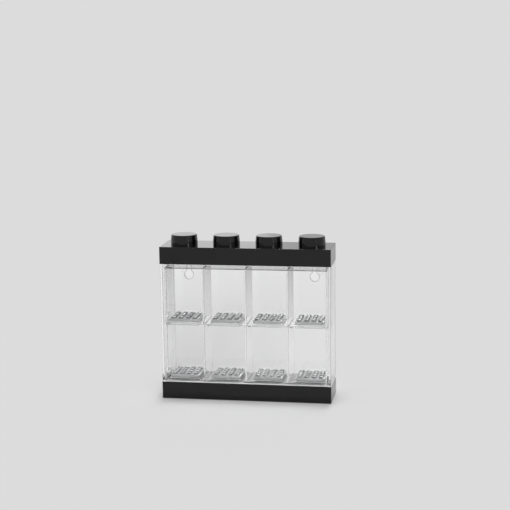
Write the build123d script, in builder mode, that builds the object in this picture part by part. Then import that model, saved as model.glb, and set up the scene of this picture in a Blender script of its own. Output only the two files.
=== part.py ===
from build123d import *
import os

# A stackable display case for small figures, in millimetres.
# X runs along the row of studs, Y from the sliding cover at the front to the
# back panel, and Z up. The origin is the middle of the underside.

# Outline of the black base and lid
columns = 4                 # studs in the row, and cells in each tier
stack_pitch = 48.0          # from one stud to the next
side_play = 0.5             # each side stands this far inside the pitch
base_height = 19.2
lid_height = 19.2
clear_height = 134.4        # from the base's rim to the lid's lower edge
shell_wall = 2.4            # side walls of the base and the lid
lid_top_wall = 2.4
corner_round = 0.4          # rounding of the shells' outer edges

# Studs on the lid and the sockets under the base that take them
stud_radius = 15.0
stud_draft = 0.6            # how much narrower a stud is at its top
stud_height = 11.2
stud_land = 5.0             # straight lower part, which a socket holds
stud_chamfer = 0.6
stud_wall = 2.4
socket_gap = 0.3            # around a stud in its socket
rib_wall = 1.6
socket_relief = 0.5         # sockets are cut this far into the deck above them
rib_recess = 2.5            # ribs stop short of the base's underside

# Clear cover and back panel, joined to the shells by tongues in grooves
clear_inset = 0.3           # clear walls stand this far inside the shells
clear_wall = 2.2
tongue_wall = 1.0
tongue_height = 4.0
tongue_end_gap = 0.5
fit_gap = 0.3               # between pieces that slide past each other
deck_rise = 0.8             # the base's deck stands above its rim
deck_wall = 2.0

# Rails that the cover slides on
rail_reach = 2.2
rail_wall = 1.6
hook_wall = 1.6

# Rack of clear panels inside
panel_wall = 1.6
rack_front_gap = 0.5        # behind the cover's front wall
divider_setback = 1.0       # divider edges behind the front of the shelves
tier_pitch = 64.2           # from the lower seats up to the upper ones
roof_drop = 3.8             # top panel's upper face below the lid's lower edge
lap_gap = 0.1               # in the half-lap joints of dividers and shelf
ledge_reach = 1.0           # ledges on the side panels that carry the shelf
seat_margin = 1.35          # raised seats reach this far past the stud plates
seat_side_gap = 0.85        # between an end seat and its side panel
seat_rise = 1.7

# Keyholes in the back panel for two wall screws, in line with the end studs
keyhole_radius = 5.0
keyhole_slot_radius = 2.25
keyhole_rise = 9.0          # from the round hole up to the slot's end
keyhole_drop = 19.7         # round hole below the lid's lower edge

# Removable stud plates that the figures stand on
plate_studs = 4             # studs along each side
plate_pitch = 8.0
plate_play = 0.1
plate_height = 3.2
plate_top_wall = 1.2
plate_side_wall = 1.5
plate_stud_radius = 2.4
plate_stud_height = 1.7
plate_stud_sides = 12       # the small studs are twelve-sided, to keep the model light

# Positions worked out from the sizes above
case_width = columns * stack_pitch - 2 * side_play
case_depth = stack_pitch - 2 * side_play
rim_z = base_height
lid_z = rim_z + clear_height
top_z = lid_z + lid_height

clear_x = case_width / 2 - clear_inset          # outer faces of the clear walls
clear_y = case_depth / 2 - clear_inset
inner_x = clear_x - clear_wall                  # inner faces of the clear walls
inner_y = clear_y - clear_wall
tongue_x = inner_x + tongue_wall
tongue_y = inner_y + tongue_wall
groove_x = tongue_x + fit_gap
groove_y = tongue_y + fit_gap
groove_depth = tongue_height + tongue_end_gap

deck_x = inner_x - fit_gap
deck_y = inner_y - fit_gap
deck_z = rim_z + deck_rise
hollow_z = deck_z - deck_wall                   # ceiling of the base's underside

rack_x = inner_x - fit_gap - rail_reach         # outer faces of the side panels
rack_inner_x = rack_x - panel_wall
rack_front = -inner_y + rack_front_gap
rack_back = inner_y                             # rack panels stand on the back panel
rack_depth = rack_back - rack_front
rack_mid = (rack_back + rack_front) / 2
divider_front = rack_front + divider_setback

plate_side = plate_studs * plate_pitch - 2 * plate_play
seat_size = plate_side + 2 * seat_margin
cell_pitch = 2 * (rack_inner_x - seat_side_gap - seat_size / 2) / (columns - 1)

floor_top = deck_z + panel_wall
roof_top = lid_z - roof_drop
roof_bottom = roof_top - panel_wall
shelf_bottom = deck_z + tier_pitch

cover_rear = inner_y - fit_gap                  # rear ends of the cover's side walls
rail_back = cover_rear - hook_wall - fit_gap
rail_front = rail_back - rail_wall
hook_x = rack_x + fit_gap

socket_radius = stud_radius + socket_gap
stud_places = GridLocations(stack_pitch, stack_pitch, columns, 1)
seat_places = GridLocations(cell_pitch, cell_pitch, columns, 1)
divider_xs = [cell_pitch * (i + 1 - columns / 2) for i in range(columns - 1)]
rib_xs = [stack_pitch * (i + 1 - columns / 2) for i in range(columns - 1)]

os.makedirs("parts", exist_ok=True)
pieces = []


def finish(part, name):
    """Name a finished piece and write it to its own file."""
    part.label = name
    export_step(part, f"parts/{name}.step")
    pieces.append(part)


# Base: a tray that stands open side down, with a raised deck for the rack, a
# groove around it for the tongues, and a ribbed socket under every stud place.
with BuildPart() as base:
    with BuildSketch():
        Rectangle(case_width, case_depth)
    extrude(amount=base_height)
    fillet(base.edges().filter_by(Axis.Z), radius=corner_round)
    fillet(base.faces().sort_by(Axis.Z)[0].edges(), radius=corner_round)
    with BuildSketch(Plane.XY.offset(rim_z)):
        Rectangle(2 * deck_x, 2 * deck_y)
    extrude(amount=deck_rise)

    # hollow underside, deeper under the deck than under the groove
    with BuildSketch():
        Rectangle(case_width - 2 * shell_wall, case_depth - 2 * shell_wall)
    extrude(amount=rim_z - groove_depth - deck_wall, mode=Mode.SUBTRACT)
    with BuildSketch():
        Rectangle(2 * (deck_x - deck_wall), 2 * (deck_y - deck_wall))
    extrude(amount=hollow_z, mode=Mode.SUBTRACT)

    # ribs from wall to wall, and the sockets that they brace
    with BuildSketch(Plane.XY.offset(rib_recess)):
        Rectangle(case_width - 2 * shell_wall, rib_wall)
        with Locations(*[(x, 0) for x in rib_xs]):
            Rectangle(rib_wall, case_depth - 2 * shell_wall)
        with stud_places:
            Rectangle(rib_wall, case_depth - 2 * shell_wall)
    extrude(amount=hollow_z - rib_recess)
    with BuildSketch():
        with stud_places:
            Circle(socket_radius + rib_wall)
    extrude(amount=hollow_z)
    with BuildSketch():
        with stud_places:
            Circle(socket_radius)
    extrude(amount=hollow_z + socket_relief, mode=Mode.SUBTRACT)

    # groove around the deck
    with BuildSketch(Plane.XY.offset(rim_z)):
        Rectangle(2 * groove_x, 2 * groove_y)
        Rectangle(2 * deck_x, 2 * deck_y, mode=Mode.SUBTRACT)
    extrude(amount=-groove_depth, mode=Mode.SUBTRACT)
finish(base.part, "base")

# Stud of the lid: straight where a socket holds it, then drawn in to its top.
with BuildPart() as stud:
    with BuildSketch(Plane.XZ):
        with BuildLine():
            Polyline(
                (0, top_z),
                (stud_radius, top_z),
                (stud_radius, top_z + stud_land),
                (stud_radius - stud_draft, top_z + stud_height - stud_chamfer),
                (stud_radius - stud_draft - stud_chamfer, top_z + stud_height),
                (0, top_z + stud_height),
                close=True)
        make_face()
    revolve(axis=Axis.Z)

# Lid: a hollow cap with a rebate for the tongues and hollow studs on top.
with BuildPart() as lid:
    with BuildSketch(Plane.XY.offset(lid_z)):
        Rectangle(case_width, case_depth)
    extrude(amount=lid_height)
    fillet(lid.edges().filter_by(Axis.Z), radius=corner_round)
    fillet(lid.faces().sort_by(Axis.Z)[-1].edges(), radius=corner_round)
    with stud_places:
        add(stud.part)
    with BuildSketch(Plane.XY.offset(lid_z)):
        Rectangle(case_width - 2 * shell_wall, case_depth - 2 * shell_wall)
    extrude(amount=lid_height - lid_top_wall, mode=Mode.SUBTRACT)
    with BuildSketch(Plane.XY.offset(lid_z)):
        Rectangle(2 * groove_x, 2 * groove_y)
    extrude(amount=groove_depth, mode=Mode.SUBTRACT)
    with BuildSketch(Plane.XY.offset(top_z - lid_top_wall)):
        with stud_places:
            Circle(stud_radius - stud_draft - stud_wall)
    extrude(amount=stud_height, mode=Mode.SUBTRACT)
finish(lid.part, "lid")

# Back panel: stands in both grooves at the rear, with two keyholes.
with BuildPart() as back_panel:
    with BuildSketch(Plane.XY.offset(rim_z)):
        with Locations((0, inner_y)):
            Rectangle(2 * clear_x, clear_wall, align=(Align.CENTER, Align.MIN))
    extrude(amount=clear_height)
    with BuildSketch(Plane.XY.offset(rim_z - tongue_height)):
        with Locations((0, inner_y)):
            Rectangle(2 * tongue_x, tongue_wall, align=(Align.CENTER, Align.MIN))
    extrude(amount=clear_height + 2 * tongue_height)
    with BuildSketch(Plane.XZ.offset(-clear_y)):
        with GridLocations((columns - 1) * stack_pitch, stack_pitch, 2, 1):
            with Locations((0, lid_z - keyhole_drop)):
                Circle(keyhole_radius)
                Rectangle(2 * keyhole_slot_radius, keyhole_rise, align=(Align.CENTER, Align.MIN))
            with Locations((0, lid_z - keyhole_drop + keyhole_rise)):
                Circle(keyhole_slot_radius)
    extrude(amount=clear_wall, mode=Mode.SUBTRACT)
finish(back_panel.part, "back_panel")

# Front cover: a front and two side walls in one U, with tongues at both ends
# and hooks along its rear edges that run behind the rails of the rack.
with BuildPart() as front_cover:
    with BuildSketch(Plane.XY.offset(rim_z)):
        with Locations((0, -clear_y)):
            Rectangle(2 * clear_x, clear_y + cover_rear, align=(Align.CENTER, Align.MIN))
        with Locations((0, -inner_y)):
            Rectangle(2 * inner_x, inner_y + cover_rear, align=(Align.CENTER, Align.MIN),
                      mode=Mode.SUBTRACT)
    extrude(amount=clear_height)
    with BuildSketch(Plane.XY.offset(rim_z - tongue_height)):
        with Locations((0, -tongue_y)):
            Rectangle(2 * tongue_x, tongue_y + cover_rear, align=(Align.CENTER, Align.MIN))
        with Locations((0, -inner_y)):
            Rectangle(2 * inner_x, inner_y + cover_rear, align=(Align.CENTER, Align.MIN),
                      mode=Mode.SUBTRACT)
    extrude(amount=clear_height + 2 * tongue_height)
    with BuildSketch(Plane.XY.offset(deck_z + fit_gap)):
        with Locations((hook_x, cover_rear)):
            Rectangle(inner_x - hook_x, hook_wall, align=(Align.MIN, Align.MAX))
        with Locations((-hook_x, cover_rear)):
            Rectangle(inner_x - hook_x, hook_wall, align=(Align.MAX, Align.MAX))
    extrude(amount=lid_z - deck_z - fit_gap)
finish(front_cover.part, "front_cover")


def build_side_panel(side):
    """Side panel of the rack, with its rail outside and the shelf's ledge inside.

    side is -1 for the left panel and 1 for the right one.
    """
    with BuildPart() as panel:
        with BuildSketch(Plane.XY.offset(floor_top)):
            with Locations((side * (rack_inner_x + panel_wall / 2), rack_mid)):
                Rectangle(panel_wall, rack_depth)
            with Locations((side * (rack_x + rail_reach / 2), (rail_front + rail_back) / 2)):
                Rectangle(rail_reach, rail_wall)
        extrude(amount=roof_bottom - floor_top)
        with BuildSketch(Plane.XZ.offset(-rack_back)):
            with BuildLine():
                Polyline(
                    (side * rack_inner_x, shelf_bottom),
                    (side * (rack_inner_x - ledge_reach), shelf_bottom),
                    (side * rack_inner_x, shelf_bottom - 2 * ledge_reach),
                    close=True)
            make_face()
        extrude(amount=rack_back - divider_front)
    return panel.part


def build_shelf(bottom, half_width):
    """Shelf with a raised, cored seat for the stud plate of every cell."""
    with BuildPart() as shelf:
        with BuildSketch(Plane.XY.offset(bottom)):
            with Locations((0, rack_mid)):
                Rectangle(2 * half_width, rack_depth)
        extrude(amount=panel_wall)
        with BuildSketch(Plane.XY.offset(bottom)):
            with seat_places:
                Rectangle(seat_size, seat_size)
        extrude(amount=panel_wall + seat_rise)
        with BuildSketch(Plane.XY.offset(bottom)):
            with seat_places:
                Rectangle(seat_size - 2 * panel_wall, seat_size - 2 * panel_wall)
        extrude(amount=seat_rise, mode=Mode.SUBTRACT)
    return shelf.part


def build_divider(x):
    """Full-height divider, slotted from the front to straddle the upper shelf."""
    with BuildPart() as divider:
        with BuildSketch(Plane.XY.offset(floor_top)):
            with Locations((x, divider_front)):
                Rectangle(panel_wall, rack_back - divider_front, align=(Align.CENTER, Align.MIN))
        extrude(amount=roof_bottom - floor_top)
        with BuildSketch(Plane.XY.offset(shelf_bottom - lap_gap)):
            with Locations((x, rack_front)):
                Rectangle(2 * panel_wall, rack_mid + lap_gap - rack_front,
                          align=(Align.CENTER, Align.MIN))
        extrude(amount=panel_wall + 2 * lap_gap, mode=Mode.SUBTRACT)
    return divider.part


def build_stud_plate(center, bottom):
    """Square plate with a grid of small studs, hollow underneath."""
    with BuildPart() as plate:
        with BuildSketch(Plane.XY.offset(bottom)):
            with Locations((center, 0)):
                Rectangle(plate_side, plate_side)
        extrude(amount=plate_height)
        with BuildSketch(Plane.XY.offset(bottom + plate_height)):
            with Locations((center, 0)):
                with GridLocations(plate_pitch, plate_pitch, plate_studs, plate_studs):
                    RegularPolygon(plate_stud_radius, plate_stud_sides)
        extrude(amount=plate_stud_height)
        with BuildSketch(Plane.XY.offset(bottom)):
            with Locations((center, 0)):
                Rectangle(plate_side - 2 * plate_side_wall, plate_side - 2 * plate_side_wall)
        extrude(amount=plate_height - plate_top_wall, mode=Mode.SUBTRACT)
    return plate.part


# Side panels: the cover's hooks run on their rails.
finish(build_side_panel(-1), "side_panel_left")
finish(build_side_panel(1), "side_panel_right")

# Lower shelf: the rack's floor, on the base's deck.
finish(build_shelf(deck_z, rack_x), "lower_shelf")

# Upper shelf: between the side panels on their ledges, slotted from the rear
# so that it laps with the dividers.
with BuildPart() as upper_shelf:
    add(build_shelf(shelf_bottom, rack_inner_x))
    with BuildSketch(Plane.XY.offset(shelf_bottom)):
        with Locations(*[(x, rack_mid - lap_gap) for x in divider_xs]):
            Rectangle(panel_wall + 2 * lap_gap, rack_depth, align=(Align.CENTER, Align.MIN))
    extrude(amount=panel_wall, mode=Mode.SUBTRACT)
finish(upper_shelf.part, "upper_shelf")

# Top panel: closes the upper cells under the lid.
with BuildPart() as top_panel:
    with BuildSketch(Plane.XY.offset(roof_bottom)):
        with Locations((0, rack_mid)):
            Rectangle(2 * rack_x, rack_depth)
    extrude(amount=panel_wall)
finish(top_panel.part, "top_panel")

# Dividers between the cells, numbered from the left.
for number, x in enumerate(divider_xs, start=1):
    finish(build_divider(x), f"divider_{number}")

# Stud plates, numbered from the left in each tier.
for tier, shelf_z in (("lower", deck_z), ("upper", shelf_bottom)):
    for number in range(1, columns + 1):
        center = cell_pitch * (number - (columns + 1) / 2)
        seat_z = shelf_z + panel_wall + seat_rise
        finish(build_stud_plate(center, seat_z), f"stud_plate_{tier}_{number}")

box = Compound(children=pieces).bounding_box()
print(f"{len(pieces)} pieces, {box.size.X:.1f} x {box.size.Y:.1f} x {box.size.Z:.1f} mm")
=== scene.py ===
"""Looks of a stackable display case for small figures.

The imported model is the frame: two glossy black mouldings, the base and the
studded lid, with a clear cover, a clear back panel and a rack of clear panels
between them. This script gives every moulding its finish, rounds the edges of
the clear panels, adds the fine matt line around the cover's foot, and swaps
the eight stud plates for finer mouldings with round studs and with tubes
underneath. A pale studio and the camera come last.
"""

import logging
import math
from dataclasses import dataclass, field
from enum import Enum

import bmesh
import bpy
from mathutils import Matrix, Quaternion, Vector


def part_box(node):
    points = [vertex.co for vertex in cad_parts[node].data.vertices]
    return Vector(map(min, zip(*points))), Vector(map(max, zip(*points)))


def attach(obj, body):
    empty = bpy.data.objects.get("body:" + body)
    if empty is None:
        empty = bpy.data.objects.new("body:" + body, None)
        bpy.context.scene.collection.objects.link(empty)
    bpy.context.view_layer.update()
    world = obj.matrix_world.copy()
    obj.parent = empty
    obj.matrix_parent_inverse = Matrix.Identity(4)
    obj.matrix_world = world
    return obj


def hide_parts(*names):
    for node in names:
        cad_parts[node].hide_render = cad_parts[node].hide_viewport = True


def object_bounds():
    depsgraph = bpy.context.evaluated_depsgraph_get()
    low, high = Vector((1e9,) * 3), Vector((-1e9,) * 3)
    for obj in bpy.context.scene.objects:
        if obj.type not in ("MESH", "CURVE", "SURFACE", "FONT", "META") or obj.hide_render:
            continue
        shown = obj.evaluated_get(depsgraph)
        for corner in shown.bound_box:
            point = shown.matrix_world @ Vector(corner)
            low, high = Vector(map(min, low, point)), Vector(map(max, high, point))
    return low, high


Colour = tuple[float, float, float]
Pair = tuple[float, float]
Socket = bpy.types.NodeSocket

MM = 0.001
PALE_GREY = (0.716, 0.716, 0.716)
AIR = 0.03 * MM             # between faces of pieces that touch
ORIGIN = (0, 0, 0)
UPRIGHT = (1, 0, 1)         # keeps a point's X and Z and drops its Y
NOISE_RANGE = (0.3, 0.7)    # most of a noise's values lie between these
MIDWAY = 0.5                # tells two neighbouring whole numbers apart
EDGE_SEGMENTS = 2           # faces around a block's rounded edge
ROUND_PROFILE = 0.5         # makes that edge an arc
DIRECT_RAYS = ("Camera", "Glossy", "Transmission")

# A colour's own sockets on the node that mixes values of every kind
MIX_FACTOR, MIX_FIRST, MIX_SECOND, MIX_RESULT = 0, 6, 7, 2

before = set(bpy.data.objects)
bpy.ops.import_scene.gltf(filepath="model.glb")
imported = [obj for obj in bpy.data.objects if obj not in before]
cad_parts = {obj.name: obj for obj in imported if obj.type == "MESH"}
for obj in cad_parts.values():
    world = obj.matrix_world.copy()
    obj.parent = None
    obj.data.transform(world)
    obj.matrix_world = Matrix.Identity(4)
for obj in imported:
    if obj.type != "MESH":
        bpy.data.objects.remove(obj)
cad_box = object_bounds()
log = logging.getLogger("display_case")


class Slot(Enum):
    """The record's material slots."""

    BLACK = "black_plastic"
    CLEAR = "clear_plastic"
    GREY = "grey_translucent_plastic"


class Tier(Enum):
    """The two storeys of cells."""

    LOWER = "lower"
    UPPER = "upper"


class Wiring:
    """A material's or world's node tree, emptied and ready to be wired."""

    def __init__(self, owner: bpy.types.ID) -> None:
        """Empties the node tree.

        Args:
            owner: The material or world that the tree belongs to.
        """
        owner.use_nodes = True
        self.tree = owner.node_tree
        self.tree.nodes.clear()

    def add(self, kind: str, **values: object) -> bpy.types.Node:
        """Adds a node and sets its sockets.

        Args:
            kind: The node's type name without the ShaderNode prefix.
            **values: Socket values, with underscores for the spaces in a name.

        Returns:
            The new node.
        """
        node = self.tree.nodes.new("ShaderNode" + kind)
        for name, value in values.items():
            node.inputs[name.replace("_", " ")].default_value = value
        return node

    def join(self, source: Socket, target: Socket) -> None:
        """Links one socket to another."""
        self.tree.links.new(source, target)

    def noise(self, scale: float, detail: float, roughness: float = 0.5) -> bpy.types.Node:
        """Adds a noise that is fixed to the piece.

        Args:
            scale: Waves to the metre.
            detail: How many finer octaves it has.
            roughness: How strong the finer octaves are.

        Returns:
            The noise node.
        """
        place = self.add("TexCoord")
        noise = self.add("TexNoise", Scale=scale, Detail=detail, Roughness=roughness)
        self.join(place.outputs["Object"], noise.inputs["Vector"])
        return noise

    def spread(self, source: Socket, low: float, high: float) -> Socket:
        """Maps a noise's middle range to a range of values.

        Args:
            source: The noise's output.
            low: The value where the noise is low.
            high: The value where the noise is high.

        Returns:
            The mapped output.
        """
        return self.reach(source, *NOISE_RANGE, (low, high))

    def seen_by(self, *kinds: str) -> Socket:
        """Tells the named kinds of ray from all others.

        Args:
            *kinds: Names such as Camera or Glossy.

        Returns:
            An output that is 1 for those rays and 0 for the others.
        """
        path = self.add("LightPath")
        found = path.outputs[f"Is {kinds[0]} Ray"]
        for kind in kinds[1:]:
            found = self.math("MAXIMUM", found, path.outputs[f"Is {kind} Ray"])
        return found

    def math(self, operation: str, first: Socket, second: Socket | float) -> Socket:
        """Works out a sum of two values.

        Args:
            operation: The kind of sum, by Blender's name for it.
            first: The first value.
            second: The second value, as an output or a number.

        Returns:
            The result, held between 0 and 1.
        """
        node = self.add("Math")
        node.operation = operation
        node.use_clamp = True
        self.join(first, node.inputs[0])
        if isinstance(second, float):
            node.inputs[1].default_value = second
        else:
            self.join(second, node.inputs[1])
        return node.outputs["Value"]

    def vector(self, operation: str, first: Socket,
               second: Colour | Vector | Socket | None = None) -> Socket:
        """Works out a sum of vectors.

        Args:
            operation: The kind of sum, by Blender's name for it.
            first: The first vector.
            second: The second vector, as an output or fixed, where the sum has one.

        Returns:
            The resulting vector, or its length.
        """
        node = self.add("VectorMath")
        node.operation = operation
        self.join(first, node.inputs[0])
        if isinstance(second, Socket):
            self.join(second, node.inputs[1])
        elif second is not None:
            node.inputs[1].default_value = second
        return node.outputs["Value" if operation == "LENGTH" else "Vector"]

    def reach(self, source: Socket, start: float, end: float,
              values: Pair = (0.0, 1.0)) -> Socket:
        """Turns a distance into a soft change between two values.

        Args:
            source: The distance's output.
            start: Where the change begins.
            end: Where it ends.
            values: The values before and after it.

        Returns:
            The value's output.
        """
        node = self.add("MapRange", To_Min=values[0], To_Max=values[1])
        node.inputs["From Min"].default_value = start
        node.inputs["From Max"].default_value = end
        self.join(source, node.inputs["Value"])
        return node.outputs["Result"]

    def toward(self, factor: Socket, first: Socket, second: Colour) -> Socket:
        """Blends a wired colour into a fixed one.

        Args:
            factor: The fixed colour's share.
            first: The wired colour.
            second: The fixed colour.

        Returns:
            The blended colour's output.
        """
        mix = self.add("Mix")
        mix.data_type = "RGBA"
        self.join(factor, mix.inputs[MIX_FACTOR])
        self.join(first, mix.inputs[MIX_FIRST])
        mix.inputs[MIX_SECOND].default_value = (*second, 1)
        return mix.outputs[MIX_RESULT]

    def mirrored_inside(self, at_least: int) -> Socket:
        """Tells light that was mirrored inside clear plastic from all other light.

        Args:
            at_least: How often it was mirrored.

        Returns:
            An output that is 1 for such light and 0 for the rest.
        """
        path = self.add("LightPath")
        often = self.math("GREATER_THAN", path.outputs["Glossy Depth"], at_least - MIDWAY)
        inside = self.math("GREATER_THAN", path.outputs["Transmission Depth"], MIDWAY)
        return self.math("MULTIPLY", often, inside)

    def choose(self, factor: Socket | float, first: bpy.types.Node,
               second: bpy.types.Node) -> bpy.types.Node:
        """Mixes two shaders.

        Args:
            factor: The second shader's share, as a number or an output.
            first: The first shader's node.
            second: The second shader's node.

        Returns:
            The mixing node.
        """
        mix = self.add("MixShader")
        if isinstance(factor, float):
            mix.inputs["Fac"].default_value = factor
        else:
            self.join(factor, mix.inputs["Fac"])
        self.join(first.outputs[0], mix.inputs[1])
        self.join(second.outputs[0], mix.inputs[2])
        return mix

    def blend(self, source: Socket, first: Colour, second: Colour,
              stops: Pair = (0.35, 0.65)) -> Socket:
        """Blends two colours by a value.

        Args:
            source: The value's output.
            first: The colour where the value is low.
            second: The colour where the value is high.
            stops: The two values between which it blends; the default suits a noise.

        Returns:
            The blended colour's output.
        """
        ramp = self.add("ValToRGB")
        for element, stop, colour in zip(ramp.color_ramp.elements, stops, (first, second)):
            element.position = stop
            element.color = (*colour, 1)
        self.join(source, ramp.inputs["Fac"])
        return ramp.outputs["Color"]

    def end_in(self, kind: str, shader: bpy.types.Node) -> None:
        """Sends a shader to the tree's output.

        Args:
            kind: The output node's type name without the ShaderNode prefix.
            shader: The shader's node.
        """
        self.join(shader.outputs[0], self.add(kind).inputs["Surface"])


@dataclass(frozen=True)
class MouldedFace:
    """The waviness that a polished mould leaves on a plastic face.

    Attributes:
        wave_scale: Waves to the metre of the slow flow waves.
        wave_height: Height of the flow waves, in metres.
        grain_scale: Waves to the metre of the fine grain.
        grain_height: Height of the fine grain, in metres.
        wave_detail: How many finer octaves the flow waves have.
        grain_detail: The same for the grain.
    """

    wave_scale: float = 45.0
    wave_height: float = 0.012 * MM
    grain_scale: float = 900.0
    grain_height: float = 0.0006 * MM
    wave_detail: float = 1.0
    grain_detail: float = 3.0

    def normal(self, wiring: Wiring) -> Socket:
        """Wires the two heights into a normal.

        Args:
            wiring: The material's node tree.

        Returns:
            The normal's output.
        """
        wave = wiring.add("Bump", Strength=1.0, Distance=self.wave_height)
        grain = wiring.add("Bump", Strength=1.0, Distance=self.grain_height)
        waves = wiring.noise(self.wave_scale, self.wave_detail)
        grains = wiring.noise(self.grain_scale, self.grain_detail)
        wiring.join(waves.outputs["Fac"], wave.inputs["Height"])
        wiring.join(grains.outputs["Fac"], grain.inputs["Height"])
        wiring.join(wave.outputs["Normal"], grain.inputs["Normal"])
        return grain.outputs["Normal"]


@dataclass(frozen=True)
class BlackPlastic:
    """Opaque black plastic out of a polished mould.

    Attributes:
        deep: Colour of most of the plastic.
        worn: Colour where handling has dulled it.
        polish: Roughness where the face is glossiest.
        haze: Roughness where it has been handled.
        index: Refractive index.
        handling: Noise of the handled spots: waves to the metre, octaves, and their strength.
        face: The mould's waviness.
    """

    deep: Colour = (0.0025, 0.0025, 0.0027)
    worn: Colour = (0.005, 0.005, 0.0053)
    polish: float = 0.10
    haze: float = 0.19
    index: float = 1.41
    handling: tuple[float, float, float] = (28.0, 4.0, 0.6)
    face: MouldedFace = MouldedFace()

    def build(self, name: str) -> bpy.types.Material:
        """Makes the material.

        Args:
            name: Its name.

        Returns:
            The material.
        """
        material = bpy.data.materials.new(name)
        wiring = Wiring(material)
        surface = wiring.add("BsdfPrincipled", IOR=self.index)
        handled = wiring.noise(*self.handling).outputs["Fac"]
        wiring.join(wiring.blend(handled, self.deep, self.worn), surface.inputs["Base Color"])
        wiring.join(wiring.spread(handled, self.polish, self.haze), surface.inputs["Roughness"])
        wiring.join(self.face.normal(wiring), surface.inputs["Normal"])
        wiring.end_in("OutputMaterial", surface)
        return material


@dataclass(frozen=True)
class PaintedKeyholeShade:
    """Painted shade in a ring around the back panel's two keyholes, for the dark look of their
    edges.

    Attributes:
        across: From the middle of the case to each keyhole's middle.
        height: Height of the round holes' middles.
        radius: Radius of the round holes.
        slot_radius: Half the width of the slots above them.
        slot_rise: From a round hole's middle up to the middle of its slot's end.
        line: Width of the painted shade ring beside the hole.
        fade: Width over which it ends.
        tint: Tint of the painted shade in it.
    """

    across: float = 72.0 * MM
    height: float = 133.9 * MM
    radius: float = 5.0 * MM
    slot_radius: float = 2.25 * MM
    slot_rise: float = 9.0 * MM
    line: float = 0.5 * MM
    fade: float = 0.2 * MM
    tint: Colour = (0.45, 0.45, 0.45)

    def over(self, wiring: Wiring, colour: Socket) -> Socket:
        """Paints the shade rings over a colour.

        Args:
            wiring: The material's node tree.
            colour: The plastic's colour.

        Returns:
            The colour with the painted shade in it.
        """
        place = wiring.vector("ABSOLUTE", wiring.add("TexCoord").outputs["Object"])
        place = wiring.vector("SUBTRACT", place, (self.across, 0, self.height))
        place = wiring.vector("MULTIPLY", place, UPRIGHT)
        above = wiring.vector("MAXIMUM", place, ORIGIN)
        on_axis = wiring.vector("MINIMUM", above, (0, 0, self.slot_rise))
        from_slot = wiring.vector("LENGTH", wiring.vector("SUBTRACT", place, on_axis))
        from_hole = wiring.vector("LENGTH", place)
        # Painted shade: a ring just outside each round hole and each slot darkens the plastic
        # there.
        shade_rings = []
        for distance, radius in ((from_hole, self.radius), (from_slot, self.slot_radius)):
            end = radius + self.line
            shade_rings.append(wiring.reach(distance, end, end + self.fade, (1.0, 0.0)))
        return wiring.toward(wiring.math("MAXIMUM", *shade_rings), colour, self.tint)


@dataclass(frozen=True)
class PaintedStudShading:
    """Painted light and shade on a translucent stud plate: painted light on its thin sides, painted
    shade on the studs' sides.

    Attributes:
        top: Height of the plate's top face.
        peak: Height of the studs' tops.
        fade: Height over which a shade changes.
        side: Tint of the painted light on the plate's sides.
        stud: Tint of the painted shade on the studs' sides.
    """

    top: float = 3.14 * MM
    peak: float = 4.84 * MM
    fade: float = 0.12 * MM
    side: Colour = (0.62, 0.625, 0.63)
    stud: Colour = (0.2, 0.202, 0.204)

    def over(self, wiring: Wiring, colour: Socket) -> Socket:
        """Paints light on the plate's sides and shade on the studs' sides over a colour.

        Args:
            wiring: The material's node tree.
            colour: The plastic's colour.

        Returns:
            The colour with the painted light and shade.
        """
        spot = wiring.add("SeparateXYZ")
        wiring.join(wiring.add("TexCoord").outputs["Object"], spot.inputs["Vector"])
        height = spot.outputs["Z"]
        top, peak, fade = self.top, self.peak, self.fade
        below = wiring.reach(height, top - 2 * fade, top - fade, (1.0, 0.0))
        above = wiring.reach(height, top + fade, top + 2 * fade)
        under_edge = wiring.reach(height, peak - 2 * fade, peak - fade, (1.0, 0.0))
        # Painted light: the plate's sides below its top face take the pale side tint.
        colour = wiring.toward(below, colour, self.side)
        # Painted shade: the studs' sides, from the top face up to just under their rounded tops,
        # take the dark stud tint.
        return wiring.toward(wiring.math("MULTIPLY", above, under_edge), colour, self.stud)


@dataclass(frozen=True)
class SeeThroughPlastic:
    """Clear or tinted plastic that lets the lamps shine through it.

    Attributes:
        body: Tint of the plastic.
        streak: Tint along its faint flow streaks.
        transmission: Share of the light that goes through and isn't scattered.
        polish: Roughness where the face is clearest.
        haze: Roughness where it is a little cloudy.
        index: Refractive index.
        shade: What the lamps keep of their light on the way through a face.
        flow: Noise of the flow streaks: waves to the metre, octaves, and their strength.
        face: The mould's waviness.
        painted_shading: Painted shade around the keyholes, and painted light and shade on the stud
            plates, over the tint of the pieces that have them.
    """

    body: Colour = (0.992, 0.993, 0.993)
    streak: Colour = (0.98, 0.982, 0.982)
    transmission: float = 1.0
    polish: float = 0.01
    haze: float = 0.035
    index: float = 1.5
    shade: Colour = (0.9, 0.905, 0.905)
    flow: tuple[float, float, float] = (22.0, 3.0, 0.55)
    face: MouldedFace = MouldedFace(
        wave_scale=30.0, wave_height=0.006 * MM, grain_scale=700.0, grain_height=0.0002 * MM)
    painted_shading: PaintedKeyholeShade | PaintedStudShading | None = None

    def build(self, name: str) -> bpy.types.Material:
        """Makes the material.

        Args:
            name: Its name.

        Returns:
            The material.
        """
        material = bpy.data.materials.new(name)
        wiring = Wiring(material)
        surface = wiring.add("BsdfPrincipled", IOR=self.index)
        surface.inputs["Transmission Weight"].default_value = self.transmission
        streaks = wiring.noise(*self.flow).outputs["Fac"]
        colour = wiring.blend(streaks, self.body, self.streak)
        # Painted shade, and on the stud plates painted light too, laid over the plastic's tint.
        if self.painted_shading:
            colour = self.painted_shading.over(wiring, colour)
        wiring.join(colour, surface.inputs["Base Color"])
        wiring.join(wiring.spread(streaks, self.polish, self.haze), surface.inputs["Roughness"])
        wiring.join(self.face.normal(wiring), surface.inputs["Normal"])
        lamp_light = wiring.add("BsdfTransparent", Color=(*self.shade, 1))
        choice = wiring.choose(wiring.seen_by("Shadow"), surface, lamp_light)
        wiring.end_in("OutputMaterial", choice)
        return material


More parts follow.
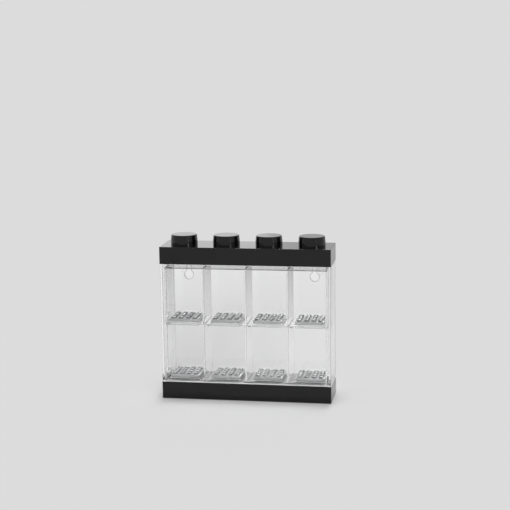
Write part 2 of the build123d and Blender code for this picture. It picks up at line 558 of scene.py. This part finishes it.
@dataclass(frozen=True)
class EdgeRounding:
    """The small radius that a mould leaves on a piece's edges.

    Attributes:
        radius: The radius, in metres.
        segments: Faces around it.
        least_angle: Edges flatter than this stay as they are, in degrees.
        air: How far the faces stand back from the pieces that they touch, in metres.
        joined: Corners nearer together than this become one, in metres.
    """

    radius: float = 0.25 * MM
    segments: int = 2
    least_angle: float = 40.0
    air: float = AIR
    joined: float = 0.001 * MM

    def apply_to(self, piece: bpy.types.Object) -> None:
        """Adds the rounding to a piece as modifiers.

        Args:
            piece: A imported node, whose own mesh stays as it is.
        """
        weld = piece.modifiers.new("joined_corners", "WELD")
        weld.merge_threshold = self.joined
        fit = piece.modifiers.new("loose_fit", "DISPLACE")
        fit.mid_level = 0.0
        fit.strength = -self.air
        bevel = piece.modifiers.new("rounded_edges", "BEVEL")
        bevel.width = self.radius
        bevel.segments = self.segments
        bevel.limit_method = "ANGLE"
        bevel.angle_limit = math.radians(self.least_angle)
        bevel.harden_normals = True


@dataclass
class Mouldings:
    """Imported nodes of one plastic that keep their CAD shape.

    Attributes:
        nodes: The nodes' names.
        slot: The record's slot they take their finish from.
        finish: The plastic.
        rounding: The radius on their edges, or None where CAD has it.
    """

    nodes: tuple[str, ...]
    slot: Slot
    finish: BlackPlastic | SeeThroughPlastic
    rounding: EdgeRounding | None = None

    def dress(self) -> None:
        """Gives each node the finish and the edge rounding."""
        material = self.finish.build(self.slot.value)
        for name in self.nodes:
            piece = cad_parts[name]
            piece.data.materials.clear()
            piece.data.materials.append(material)
            if self.rounding:
                self.rounding.apply_to(piece)
            log.info("%s: %s", name, self.slot.value)


class Outline:
    """A mesh under construction, in metres, with turned and boxed solids in it."""

    def __init__(self) -> None:
        """Starts an empty mesh."""
        self.mesh = bmesh.new()

    def turn(self, centre: Pair, profile: list[Pair], sides: int, closed: bool = False) -> None:
        """Turns a profile around a vertical axis into a solid.

        Args:
            centre: X and Y of the axis.
            profile: Pairs of radius and height, from the bottom up.
            sides: How many sides the turned solid has.
            closed: True for a ring, whose profile runs back to its start.
        """
        rings = []
        for radius, height in profile:
            ring = []
            for step in range(sides):
                angle = 2 * math.pi * step / sides
                x = centre[0] + radius * math.cos(angle)
                y = centre[1] + radius * math.sin(angle)
                ring.append(self.mesh.verts.new((x, y, height)))
            rings.append(ring)
        pairs = list(zip(rings, rings[1:]))
        if closed:
            pairs.append((rings[-1], rings[0]))
        for lower, upper in pairs:
            for step in range(sides):
                after = (step + 1) % sides
                self.mesh.faces.new((lower[step], lower[after], upper[after], upper[step]))
        if not closed:
            self.mesh.faces.new(list(reversed(rings[0])))
            self.mesh.faces.new(rings[-1])

    def block(self, size: Vector, bottom: float, edge: float = 0.0) -> None:
        """Adds a block that is centred on the vertical axis.

        Args:
            size: Its three sides.
            bottom: Height of its lower face.
            edge: Radius of its edges.
        """
        made = bmesh.ops.create_cube(self.mesh, size=1.0)["verts"]
        bmesh.ops.scale(self.mesh, vec=size, verts=made)
        bmesh.ops.translate(self.mesh, vec=(0, 0, bottom + size.z / 2), verts=made)
        if edge:
            edges = {e for v in made for e in v.link_edges}
            bmesh.ops.bevel(self.mesh, geom=list(edges), offset=edge, segments=EDGE_SEGMENTS,
                            profile=ROUND_PROFILE, affect="EDGES")

    def to_object(self, name: str) -> bpy.types.Object:
        """Turns the mesh into an object and frees the construction.

        Args:
            name: The object's name.

        Returns:
            The object, linked to the scene.
        """
        bmesh.ops.recalc_face_normals(self.mesh, faces=self.mesh.faces)
        data = bpy.data.meshes.new(name)
        self.mesh.to_mesh(data)
        self.mesh.free()
        made = bpy.data.objects.new(name, data)
        bpy.context.scene.collection.objects.link(made)
        return made


@dataclass
class CoverFoot:
    """The fine matt line around the cover's foot, which shows how deep it stands in the base.

    Attributes:
        finish: The line's plastic.
        rim: Height of the base's rim.
        rise: From the rim to the line.
        height: Height of its outer face.
        slope: Height of the slope above that.
        proud: How far it stands out of the cover.
    """

    finish: SeeThroughPlastic
    rim: float = 19.2 * MM
    rise: float = 0.3 * MM
    height: float = 0.6 * MM
    slope: float = 0.5 * MM
    proud: float = 0.27 * MM

    def stations(self, offset: float) -> list[Pair]:
        """The four points of its way around the cover's sides and front.

        Args:
            offset: Distance out of the cover's faces.

        Returns:
            X and Y of each point.
        """
        low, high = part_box("front_cover")
        left, right, front = low.x - offset, high.x + offset, low.y - offset
        return [(left, high.y), (left, front), (right, front), (right, high.y)]

    def build(self) -> None:
        """Makes the line and lets it ride with the cover."""
        foot = self.rim + self.rise
        profile = [(0.0, foot), (self.proud, foot), (self.proud, foot + self.height),
                   (0.0, foot + self.height + self.slope)]
        outline = Outline()
        rows = []
        for offset, height in profile:
            rows.append([outline.mesh.verts.new((x, y, height)) for x, y in self.stations(offset)])
        for lower, upper in zip(rows, rows[1:] + rows[:1]):
            for step in range(len(lower) - 1):
                outline.mesh.faces.new((lower[step], lower[step + 1], upper[step + 1], upper[step]))
        for end in (0, -1):
            outline.mesh.faces.new([row[end] for row in rows])
        line = outline.to_object("cover_foot_line")
        line.data.materials.append(self.finish.build("matt_" + Slot.CLEAR.value))
        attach(line, "cover")
        log.info("%s: %s", line.name, Slot.CLEAR.value)


@dataclass
class StudPlates:
    """The eight square plates with small studs that the figures stand on.

    Attributes:
        finish: Their plastic.
        columns: Plates in each tier.
        grid: Studs along each side.
        pitch: From stud to stud.
        stud_radius: Radius of a small stud.
        stud_height: Height of a small stud.
        stud_edge: Radius of its upper edge.
        top_wall: Thickness of the plate's top.
        side_wall: Thickness of the plate's sides.
        tube_radius: Outer radius of the tubes underneath.
        tube_bore: Inner radius of the tubes.
        edge: Radius of the plate's own edges.
        sides: Sides of a stud or tube.
        overlap: How far studs, tubes and the hollow reach past the face that they meet.
        sharp_from: Edges that turn by more than this look sharp, in degrees.
    """

    finish: SeeThroughPlastic
    columns: int = 4
    grid: int = 4
    pitch: float = 8.0 * MM
    stud_radius: float = 2.4 * MM
    stud_height: float = 1.7 * MM
    stud_edge: float = 0.18 * MM
    top_wall: float = 1.2 * MM
    side_wall: float = 1.5 * MM
    tube_radius: float = 3.25 * MM
    tube_bore: float = 2.4 * MM
    edge: float = 0.2 * MM
    sides: int = 32
    overlap: float = 0.3 * MM
    sharp_from: float = 30.0

    def places(self, count: int) -> list[Pair]:
        """Middles of a square grid of studs or tubes.

        Args:
            count: How many there are along each side.

        Returns:
            X and Y of each.
        """
        row = [self.pitch * (i - (count - 1) / 2) for i in range(count)]
        return [(x, y) for x in row for y in row]

    def studs(self, top: float) -> bpy.types.Object:
        """The studs, sunk a little into the plate so that they join it.

        Args:
            top: Height of the plate's top face.

        Returns:
            The studs as one object.
        """
        outline = Outline()
        peak = top + self.stud_height
        shoulder = self.stud_radius - self.stud_edge
        mid = self.stud_edge * (1 - math.sqrt(0.5))     # halfway round the upper edge
        profile = [
            (self.stud_radius, top - self.overlap),
            (self.stud_radius, peak - self.stud_edge),
            (self.stud_radius - mid, peak - mid),
            (shoulder, peak),
        ]
        for place in self.places(self.grid):
            outline.turn(place, profile, self.sides)
        return outline.to_object("small_studs")

    def tubes(self, ceiling: float) -> bpy.types.Object:
        """The tubes underneath, between the studs.

        Args:
            ceiling: Height of the hollow's ceiling.

        Returns:
            The tubes as one object.
        """
        outline = Outline()
        profile = [
            (self.tube_bore, 0.0),
            (self.tube_radius, 0.0),
            (self.tube_radius, ceiling + self.overlap),
            (self.tube_bore, ceiling + self.overlap),
        ]
        for place in self.places(self.grid - 1):
            outline.turn(place, profile, self.sides, closed=True)
        return outline.to_object("plate_tubes")

    def shape(self, side: float, height: float) -> bpy.types.Mesh:
        """One plate, standing on the origin.

        Args:
            side: Length of its sides.
            height: Height to the studs' tops.

        Returns:
            Its mesh.
        """
        top = height - self.stud_height
        ceiling = top - self.top_wall
        outline = Outline()
        outline.block(Vector((side, side, top)), 0.0, self.edge)
        plate = outline.to_object("plate_body")
        hollow = Outline()
        inside = side - 2 * self.side_wall
        hollow.block(Vector((inside, inside, ceiling + self.overlap)), -self.overlap)
        cuts = [("DIFFERENCE", hollow.to_object("plate_hollow")),
                ("UNION", self.studs(top)), ("UNION", self.tubes(ceiling))]
        for operation, tool in cuts:
            join = plate.modifiers.new(tool.name, "BOOLEAN")
            join.operation, join.object, join.solver = operation, tool, "EXACT"
        graph = bpy.context.evaluated_depsgraph_get()
        mesh = bpy.data.meshes.new_from_object(plate.evaluated_get(graph))
        for used in (plate, *(tool for _, tool in cuts)):
            bpy.data.objects.remove(used)
        return mesh

    def build(self) -> None:
        """Makes the plates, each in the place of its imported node."""
        material = self.finish.build(Slot.GREY.value)
        low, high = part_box(f"stud_plate_{Tier.LOWER.value}_1")
        mesh = self.shape(high.x - low.x, high.z - low.z - 2 * AIR)
        mesh.materials.clear()
        mesh.materials.append(material)
        for polygon in mesh.polygons:
            polygon.use_smooth = True
        mesh.set_sharp_from_angle(angle=math.radians(self.sharp_from))
        for tier in Tier:
            for number in range(1, self.columns + 1):
                node = f"stud_plate_{tier.value}_{number}"
                low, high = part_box(node)
                plate = bpy.data.objects.new(f"moulded_plate_{tier.value}_{number}", mesh.copy())
                bpy.context.scene.collection.objects.link(plate)
                plate.location = ((low.x + high.x) / 2, (low.y + high.y) / 2, low.z + AIR)
                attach(plate, f"plate_{tier.value}_{number}")
                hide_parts(node)
                log.info("%s: %s", plate.name, Slot.GREY.value)


@dataclass
class StudioLamp:
    """A soft lamp that is far away, so that it lights the floor evenly.

    Attributes:
        name: Its name.
        azimuth: Where it stands, from the front towards the right, in degrees.
        elevation: Its height over the floor, in degrees.
        width: How wide it looks from the object, in degrees.
        strength: Its light on a face that is square to it.
        behind_plastic: Whether it shows through clear plastic.
    """

    name: str
    azimuth: float
    elevation: float
    width: float
    strength: float
    behind_plastic: bool = True

    def hang(self) -> None:
        """Puts the lamp into the scene."""
        data = bpy.data.lights.new(self.name, "SUN")
        data.energy = self.strength
        data.angle = math.radians(self.width)
        lamp = bpy.data.objects.new(self.name, data)
        lamp.rotation_mode = "QUATERNION"
        lamp.rotation_quaternion = direction(self.azimuth, self.elevation).to_track_quat("Z", "Y")
        lamp.visible_transmission = self.behind_plastic
        bpy.context.scene.collection.objects.link(lamp)


def direction(azimuth: float, elevation: float) -> Vector:
    """The unit vector towards a place around the object.

    Args:
        azimuth: From the front towards the right, in degrees.
        elevation: Over the floor, in degrees.

    Returns:
        The vector, from the object outwards.
    """
    a, e = math.radians(azimuth), math.radians(elevation)
    return Vector((math.sin(a) * math.cos(e), -math.cos(a) * math.cos(e), math.sin(e)))


@dataclass
class Studio:
    """The pale floor, the lamps and the light of the room.

    Attributes:
        floor_size: Length of the floor's sides, in metres.
        floor_thickness: Its thickness, in metres.
        paper: Colour of the floor and of what the camera sees beyond it.
        contact: How much of the floor's colour stays out of the shadows beside the case.
        evenness: The same, further away.
        shadow_reach: Distance from the case where the shadows have faded, in metres.
        shadowed_left: The floor behind the case's left end as it shows through clear plastic, with
            the case's shadow painted on it.
        shadowed_right: The same with a lighter painted shadow, behind its right end.
        far_paper: The floor further away, as it shows through clear plastic.
        dim_paper: The far floor as it mirrors inside clear plastic, darkened as a painted dim
            reflection.
        painted_gloss_light: The room as it mirrors once inside clear plastic, brightened as a
            painted reflection.
        painted_edge_light: Painted highlight on the edges of clear plastic, where light has
            mirrored inside it twice or more.
        near: Distance where the painted shadow on the near floor begins to fade, in metres.
        dim_from: Distance where dim_paper begins to show, in metres.
        far: Distance where only far_paper or dim_paper shows, in metres.
        room_light: The even light that the room gives.
        bounces: How often light may pass through the clear panels.
        lamps: The lamps.
    """

    floor_size: float = 60.0
    floor_thickness: float = 0.01
    paper: Colour = PALE_GREY
    contact: float = 0.1
    evenness: float = 0.95
    shadow_reach: float = 0.06
    shadowed_left: Colour = (0.6, 0.6, 0.6)
    shadowed_right: Colour = (0.79, 0.79, 0.79)
    far_paper: Colour = (0.86, 0.86, 0.86)
    dim_paper: Colour = (0.2, 0.2, 0.2)
    painted_gloss_light: Colour = (0.9, 0.9, 0.9)
    painted_edge_light: Colour = (0.95, 0.95, 0.95)
    near: float = 0.1
    dim_from: float = 0.25
    far: float = 0.8
    room_light: float = 0.3
    bounces: int = 32
    lamps: tuple[StudioLamp, ...] = (
        StudioLamp("key_lamp", 38, 52, 34, 0.7),
        StudioLamp("side_lamp", -62, 40, 46, 0.35),
        StudioLamp("back_lamp", 176, 38, 30, 2.2),
        StudioLamp("rim_lamp", 214.5, 13, 50, 0.27, behind_plastic=False),
        StudioLamp("rim_lamp_edge", 216, 13, 62, 0.12, behind_plastic=False),
        StudioLamp("low_lamp", 46, 10, 10, 0.2),
    )

    def paper_in_plastic(self, wiring: Wiring, place: Socket) -> bpy.types.Node:
        """The floor's tones where it shows through clear plastic or mirrors inside it, with a
        painted shadow of the case, a painted dim reflection and a painted highlight on edges.

        Args:
            wiring: The floor's material.
            place: The output with the point of the floor.

        Returns:
            The shader's node.
        """
        spot = wiring.add("SeparateXYZ")
        wiring.join(place, spot.inputs["Vector"])
        # Painted shadow of the case on the floor behind it, as seen through clear plastic: darker
        # near the case, and darker behind its left end than its right.
        across = wiring.reach(spot.outputs["X"], cad_box[0].x, cad_box[1].x)
        shadowed_paper = wiring.blend(across, self.shadowed_left, self.shadowed_right, (0.0, 1.0))
        distance = wiring.vector("LENGTH", place)
        away = wiring.reach(distance, self.near, self.far)
        behind = wiring.add("Emission")
        wiring.join(wiring.toward(away, shadowed_paper, self.far_paper), behind.inputs["Color"])
        # Painted dim reflection where light has mirrored once inside clear plastic, darker further
        # away.
        dimmed = wiring.reach(distance, self.dim_from, self.far)
        painted_reflection = wiring.add("Emission")
        wiring.join(wiring.toward(dimmed, shadowed_paper, self.dim_paper), painted_reflection.inputs["Color"])
        # Painted highlight on clear edges, where light has mirrored twice or more inside them.
        edge_highlight = wiring.add("Emission", Color=(*self.painted_edge_light, 1))
        shown = wiring.choose(wiring.mirrored_inside(1), behind, painted_reflection)
        return wiring.choose(wiring.mirrored_inside(2), shown, edge_highlight)

    def unshaded(self, wiring: Wiring, place: Socket) -> Socket:
        """How much of the floor's own colour stays out of the case's shadow.

        Args:
            wiring: The floor's material.
            place: The output with the point of the floor.

        Returns:
            The share's output.
        """
        outside = wiring.vector("SUBTRACT", wiring.vector("ABSOLUTE", place), cad_box[1])
        gap = wiring.vector("LENGTH", wiring.vector("MAXIMUM", outside, ORIGIN))
        return wiring.reach(gap, 0.0, self.shadow_reach, (self.contact, self.evenness))

    def lay_floor(self) -> None:
        """Lays the floor that the case stands on."""
        outline = Outline()
        size = Vector((self.floor_size, self.floor_size, self.floor_thickness))
        outline.block(size, -self.floor_thickness)
        floor = outline.to_object("studio_floor")
        material = bpy.data.materials.new("studio_paper")
        wiring = Wiring(material)
        place = wiring.add("TexCoord").outputs["Object"]
        lit = wiring.add("BsdfDiffuse", Color=(*self.paper, 1))
        even = wiring.add("Emission", Color=(*self.paper, 1))
        in_plastic = self.paper_in_plastic(wiring, place)
        seen = wiring.choose(wiring.seen_by("Transmission"), even, in_plastic)
        seen = wiring.choose(self.unshaded(wiring, place), lit, seen)
        wiring.end_in("OutputMaterial", wiring.choose(wiring.seen_by(*DIRECT_RAYS), lit, seen))
        floor.data.materials.append(material)

    def light_room(self) -> None:
        """Fills the room with even light, and shows the backdrop in gloss and glass, with a painted
        reflection and a painted highlight where light has mirrored inside clear plastic.
        """
        world = bpy.data.worlds.new("studio_room")
        bpy.context.scene.world = world
        wiring = Wiring(world)
        room = wiring.add("Background", Color=(1, 1, 1, 1), Strength=self.room_light)
        backdrop = wiring.add("Background", Color=(*self.paper, 1))
        through = wiring.add("Background", Color=(*self.far_paper, 1))
        backdrop = wiring.choose(wiring.seen_by("Transmission"), backdrop, through)
        # Painted reflection of a brighter room after one mirroring inside clear plastic, and a
        # painted highlight after two or more.
        for times, light in ((1, self.painted_gloss_light), (2, self.painted_edge_light)):
            mirrored = wiring.add("Background", Color=(*light, 1))
            backdrop = wiring.choose(wiring.mirrored_inside(times), backdrop, mirrored)
        wiring.end_in("OutputWorld", wiring.choose(wiring.seen_by(*DIRECT_RAYS), room, backdrop))

    def build(self) -> None:
        """Sets up the whole studio."""
        self.lay_floor()
        self.light_room()
        for lamp in self.lamps:
            lamp.hang()
        scene = bpy.context.scene
        scene.view_settings.view_transform = "Standard"
        scene.cycles.max_bounces = self.bounces
        scene.cycles.transmission_bounces = self.bounces
        scene.cycles.transparent_max_bounces = self.bounces
        log.info("studio: %d lamps", len(self.lamps))


@dataclass
class ProductCamera:
    """The camera at the photograph's viewing angle.

    Attributes:
        azimuth: From the front towards the right, in degrees.
        elevation: Over the horizon, in degrees.
        roll: How far it is turned about its own axis, in degrees.
        distance: From the point it looks at, in metres.
        target: The point it looks at.
        lens: Focal length, in millimetres.
        sensor: Width of the picture at that focal length, in millimetres.
    """

    azimuth: float = 9.914
    elevation: float = 10.10
    roll: float = -0.747
    distance: float = 1.522793
    target: Vector = field(default_factory=lambda: Vector((0.008084, 0.0, 0.161447)))
    lens: float = 96.753
    sensor: float = 36.0

    def place(self) -> None:
        """Puts the camera into the scene and makes it the scene's own."""
        data = bpy.data.cameras.new("product_camera")
        data.lens, data.sensor_width = self.lens, self.sensor
        camera = bpy.data.objects.new("product_camera", data)
        bpy.context.scene.collection.objects.link(camera)
        back = direction(self.azimuth, self.elevation)
        camera.location = self.target + back * self.distance
        camera.rotation_mode = "QUATERNION"
        level = (-back).to_track_quat("-Z", "Y")
        camera.rotation_quaternion = level @ Quaternion((0, 0, 1), math.radians(self.roll))
        bpy.context.scene.camera = camera


def main() -> None:
    """Builds the case's looks and the studio, in order."""
    logging.basicConfig(level=logging.INFO, format="%(message)s")
    Mouldings(("base", "lid"), Slot.BLACK, BlackPlastic()).dress()
    Mouldings(
        ("side_panel_left", "side_panel_right", "lower_shelf", "upper_shelf",
         "divider_1", "divider_2", "divider_3"),
        Slot.CLEAR, SeeThroughPlastic(), EdgeRounding(),
    ).dress()
    Mouldings(("top_panel",), Slot.CLEAR, SeeThroughPlastic(index=1.1), EdgeRounding()).dress()
    Mouldings(
        ("front_cover",), Slot.CLEAR, SeeThroughPlastic(),
        EdgeRounding(radius=0.7 * MM, segments=3),
    ).dress()
    Mouldings(
        ("back_panel",), Slot.CLEAR, SeeThroughPlastic(painted_shading=PaintedKeyholeShade()),
        EdgeRounding(radius=0.5 * MM, segments=3),
    ).dress()
    CoverFoot(SeeThroughPlastic(
        body=(0.97, 0.97, 0.97), streak=(0.93, 0.93, 0.93), transmission=0.1,
        polish=0.3, haze=0.45,
    )).build()
    StudPlates(SeeThroughPlastic(
        body=(0.35, 0.353, 0.356), streak=(0.3, 0.303, 0.306), transmission=0.2,
        polish=0.05, haze=0.1, shade=(0.6, 0.605, 0.61), painted_shading=PaintedStudShading(),
    )).build()
    Studio().build()
    ProductCamera().place()


if __name__ == "__main__":
    main()
